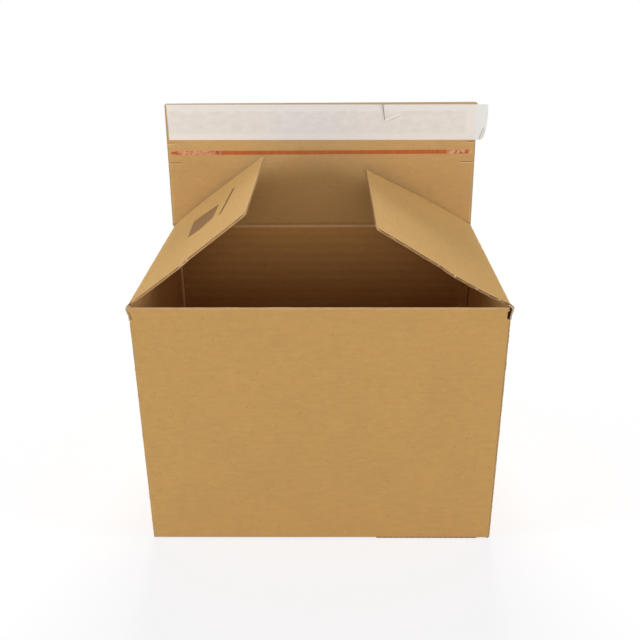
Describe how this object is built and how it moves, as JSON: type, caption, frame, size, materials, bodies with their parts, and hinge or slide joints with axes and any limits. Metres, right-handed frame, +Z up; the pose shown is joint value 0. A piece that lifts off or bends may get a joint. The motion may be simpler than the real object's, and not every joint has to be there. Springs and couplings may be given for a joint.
{
  "type": "corrugated mailer box",
  "caption": "Open corrugated shipping carton with hinged side flaps and a self-seal lid that carries an adhesive strip, its release liner and a tear tape.",
  "frame": {"origin": "middle of the base, on the surface that the carton stands on", "axes": "+X along the front wall to the carton's right as seen from the front, +Y from the front wall to the rear wall, +Z up"},
  "size_m": [0.322, 0.2228, 0.3577],
  "materials": {
    "kraft_board": "matt kraft paper, fine fibres",
    "adhesive": "clear hot-melt film",
    "liner_paper": "satin siliconised paper",
    "tear_tape": "red film, slightly glossy"
  },
  "bodies": {
    "box": {"carton": "kraft_board"},
    "left_flap": {"left_flap": "kraft_board"},
    "right_flap": {"right_flap": "kraft_board"},
    "lid": {"lid": "kraft_board", "adhesive_strip": "adhesive", "release_liner": "liner_paper", "tear_tape": "tear_tape"}
  },
  "joints": [
    {"name": "left_flap_crease", "type": "hinge", "parent": "box", "child": "left_flap", "pos_m": [-0.155, 0, 0.2338], "axis": [0, -1, 0], "range_deg": [-37.1, 230.9]},
    {"name": "right_flap_crease", "type": "hinge", "parent": "box", "child": "right_flap", "pos_m": [0.155, 0, 0.2338], "axis": [0, 1, 0], "range_deg": [-29.7, 238.3]},
    {"name": "lid_crease", "type": "hinge", "parent": "box", "child": "lid", "pos_m": [0, 0.1075, 0.2338], "axis": [-1, 0, 0], "range_deg": [0, 174.4]}
  ]
}
